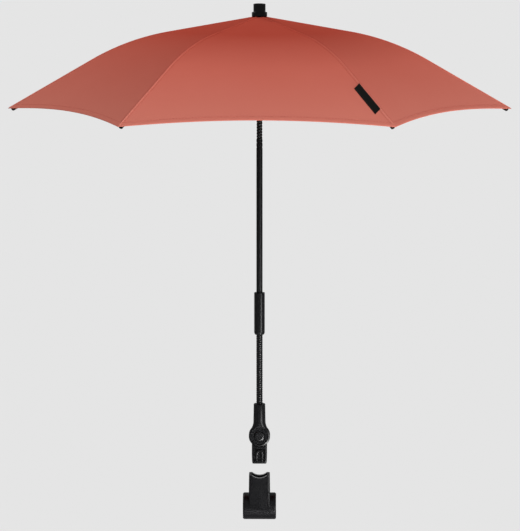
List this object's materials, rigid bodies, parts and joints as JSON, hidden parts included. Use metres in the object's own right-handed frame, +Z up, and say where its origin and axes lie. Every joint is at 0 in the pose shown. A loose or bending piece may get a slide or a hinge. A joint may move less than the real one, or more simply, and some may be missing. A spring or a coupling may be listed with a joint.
{
  "type": "pram parasol",
  "caption": "Folding fabric parasol on a bendable arm with two goosenecks and a tilting lock-button head, plugged into a clip for a pram's tube.",
  "frame": {"origin": "middle of the clip's bore", "axes": "+X along the pram's tube, -Y to the viewer, +Z up along the arm"},
  "size_m": [0.7258, 0.6287, 0.7599],
  "materials": {
    "canopy_fabric": "woven, matt",
    "tag_fabric": "woven tape, bare",
    "black_plastic": "satin moulded",
    "button_plastic": "satin moulded",
    "black_metal": "black lacquer",
    "neck_metal": "black wound wire",
    "rib_metal": "black lacquer",
    "bare_steel": "bare",
    "grip_rubber": "matt"
  },
  "bodies": {
    "clip": {"clamp_body": "black_plastic", "clamp_liner": "grip_rubber"},
    "plug": {"plug": "black_plastic"},
    "head": {"arm_head": "black_plastic", "pivot_pin": "bare_steel", "button_spring": "bare_steel"},
    "button": {"lock_button": "button_plastic"},
    "lower_neck": {"lower_neck_core": "neck_metal", "lower_neck_winding": "neck_metal"},
    "pole": {"pole": "black_metal", "collar": "black_plastic"},
    "upper_neck": {"upper_neck_core": "neck_metal", "upper_neck_winding": "neck_metal"},
    "crown": {"shaft": "black_metal", "crown_hub": "black_plastic", "crown_tie_wire": "bare_steel", "ferrule": "black_plastic"},
    "catch": {"runner_catch": "bare_steel"},
    "runner": {"runner": "black_plastic", "runner_tie_wire": "bare_steel"},
    "rib_1": {"rib_1": "rib_metal", "rib_tip_1": "black_plastic", "canopy_panel_1": "canopy_fabric"},
    "stretcher_1": {"stretcher_1": "rib_metal", "joint_pin_1": "bare_steel"},
    "rib_2": {"rib_2": "rib_metal", "rib_tip_2": "black_plastic", "canopy_panel_2": "canopy_fabric"},
    "stretcher_2": {"stretcher_2": "rib_metal", "joint_pin_2": "bare_steel"},
    "rib_3": {"rib_3": "rib_metal", "rib_tip_3": "black_plastic", "canopy_panel_3": "canopy_fabric"},
    "stretcher_3": {"stretcher_3": "rib_metal", "joint_pin_3": "bare_steel"},
    "rib_4": {"rib_4": "rib_metal", "rib_tip_4": "black_plastic", "canopy_panel_4": "canopy_fabric"},
    "stretcher_4": {"stretcher_4": "rib_metal", "joint_pin_4": "bare_steel"},
    "rib_5": {"rib_5": "rib_metal", "rib_tip_5": "black_plastic", "canopy_panel_5": "canopy_fabric"},
    "stretcher_5": {"stretcher_5": "rib_metal", "joint_pin_5": "bare_steel"},
    "rib_6": {"rib_6": "rib_metal", "rib_tip_6": "black_plastic", "canopy_panel_6": "canopy_fabric", "label_tag": "tag_fabric"},
    "stretcher_6": {"stretcher_6": "rib_metal", "joint_pin_6": "bare_steel"}
  },
  "joints": [
    {"name": "dock", "type": "slide", "parent": "clip", "child": "plug", "axis": [0, 0, 1], "range_m": [-0.0447, 0]},
    {"name": "tilt", "type": "hinge", "parent": "plug", "child": "head", "pos_m": [0, -0.00775, 0.108], "axis": [0, 1, 0], "range_deg": [-75, 75]},
    {"name": "press", "type": "slide", "parent": "head", "child": "button", "axis": [0, 1, 0], "range_m": [0, 0.0022], "stiffness_N_per_m": 1500, "springref_m": -0.002, "deforming": ["button_spring"]},
    {"name": "lower_bend_fore", "type": "hinge", "parent": "head", "child": "lower_neck", "pos_m": [0, -0.00775, 0.1819], "axis": [1, 0, 0], "range_deg": [-40, 40], "deforming": ["lower_neck_core", "lower_neck_winding"]},
    {"name": "lower_bend_side", "type": "hinge", "parent": "lower_neck", "child": "pole", "pos_m": [0, -0.00775, 0.2329], "axis": [0, -1, 0], "range_deg": [-40, 40], "deforming": ["lower_neck_core", "lower_neck_winding"]},
    {"name": "upper_turn", "type": "hinge", "parent": "pole", "child": "upper_neck", "pos_m": [0, -0.00775, 0.5689], "axis": [0, 0, 1], "continuous": true},
    {"name": "upper_bend", "type": "hinge", "parent": "upper_neck", "child": "crown", "pos_m": [0, -0.00775, 0.5689], "axis": [1, 0, 0], "range_deg": [0, 45], "deforming": ["upper_neck_core", "upper_neck_winding"]},
    {"name": "fold", "type": "slide", "parent": "crown", "child": "runner", "axis": [0, 0, 1], "range_m": [-0.1616, 0], "deforming": ["canopy_panel_1", "canopy_panel_2", "canopy_panel_3", "canopy_panel_4", "canopy_panel_5", "canopy_panel_6", "runner_catch"]},
    {"name": "catch_press", "type": "slide", "parent": "crown", "child": "catch", "axis": [0, -1, 0], "range_m": [0, 0.0017], "stiffness_N_per_m": 600, "springref_m": -0.001},
    {"name": "rib_1_hinge", "type": "hinge", "parent": "crown", "child": "rib_1", "pos_m": [0.01, -0.00775, 0.7184], "axis": [0, 1, 0], "range_deg": [0, 69.6]},
    {"name": "stretcher_1_hinge", "type": "hinge", "parent": "rib_1", "child": "stretcher_1", "pos_m": [0.1259, -0.00775, 0.69614], "axis": [0, 1, 0], "range_deg": [-122.6, 0]},
    {"name": "rib_2_hinge", "type": "hinge", "parent": "crown", "child": "rib_2", "pos_m": [0.005, 0.00091, 0.7184], "axis": [-0.866, 0.5, 0], "range_deg": [0, 69.6]},
    {"name": "stretcher_2_hinge", "type": "hinge", "parent": "rib_2", "child": "stretcher_2", "pos_m": [0.06295, 0.10128, 0.69614], "axis": [-0.866, 0.5, 0], "range_deg": [-122.6, 0]},
    {"name": "rib_3_hinge", "type": "hinge", "parent": "crown", "child": "rib_3", "pos_m": [-0.005, 0.00091, 0.7184], "axis": [-0.866, -0.5, 0], "range_deg": [0, 69.6]},
    {"name": "stretcher_3_hinge", "type": "hinge", "parent": "rib_3", "child": "stretcher_3", "pos_m": [-0.06295, 0.10128, 0.69614], "axis": [-0.866, -0.5, 0], "range_deg": [-122.6, 0]},
    {"name": "rib_4_hinge", "type": "hinge", "parent": "crown", "child": "rib_4", "pos_m": [-0.01, -0.00775, 0.7184], "axis": [0, -1, 0], "range_deg": [0, 69.6]},
    {"name": "stretcher_4_hinge", "type": "hinge", "parent": "rib_4", "child": "stretcher_4", "pos_m": [-0.1259, -0.00775, 0.69614], "axis": [0, -1, 0], "range_deg": [-122.6, 0]},
    {"name": "rib_5_hinge", "type": "hinge", "parent": "crown", "child": "rib_5", "pos_m": [-0.005, -0.01641, 0.7184], "axis": [0.866, -0.5, 0], "range_deg": [0, 69.6]},
    {"name": "stretcher_5_hinge", "type": "hinge", "parent": "rib_5", "child": "stretcher_5", "pos_m": [-0.06295, -0.11678, 0.69614], "axis": [0.866, -0.5, 0], "range_deg": [-122.6, 0]},
    {"name": "rib_6_hinge", "type": "hinge", "parent": "crown", "child": "rib_6", "pos_m": [0.005, -0.01641, 0.7184], "axis": [0.866, 0.5, 0], "range_deg": [0, 69.6]},
    {"name": "stretcher_6_hinge", "type": "hinge", "parent": "rib_6", "child": "stretcher_6", "pos_m": [0.06295, -0.11678, 0.69614], "axis": [0.866, 0.5, 0], "range_deg": [-122.6, 0]}
  ],
  "couplings": [
    {"joint": "rib_1_hinge", "follows": "fold", "rad_per_m": -7.5034},
    {"joint": "stretcher_1_hinge", "follows": "fold", "rad_per_m": 13.221},
    {"joint": "rib_2_hinge", "follows": "fold", "rad_per_m": -7.5034},
    {"joint": "stretcher_2_hinge", "follows": "fold", "rad_per_m": 13.221},
    {"joint": "rib_3_hinge", "follows": "fold", "rad_per_m": -7.5034},
    {"joint": "stretcher_3_hinge", "follows": "fold", "rad_per_m": 13.221},
    {"joint": "rib_4_hinge", "follows": "fold", "rad_per_m": -7.5034},
    {"joint": "stretcher_4_hinge", "follows": "fold", "rad_per_m": 13.221},
    {"joint": "rib_5_hinge", "follows": "fold", "rad_per_m": -7.5034},
    {"joint": "stretcher_5_hinge", "follows": "fold", "rad_per_m": 13.221},
    {"joint": "rib_6_hinge", "follows": "fold", "rad_per_m": -7.5034},
    {"joint": "stretcher_6_hinge", "follows": "fold", "rad_per_m": 13.221}
  ]
}
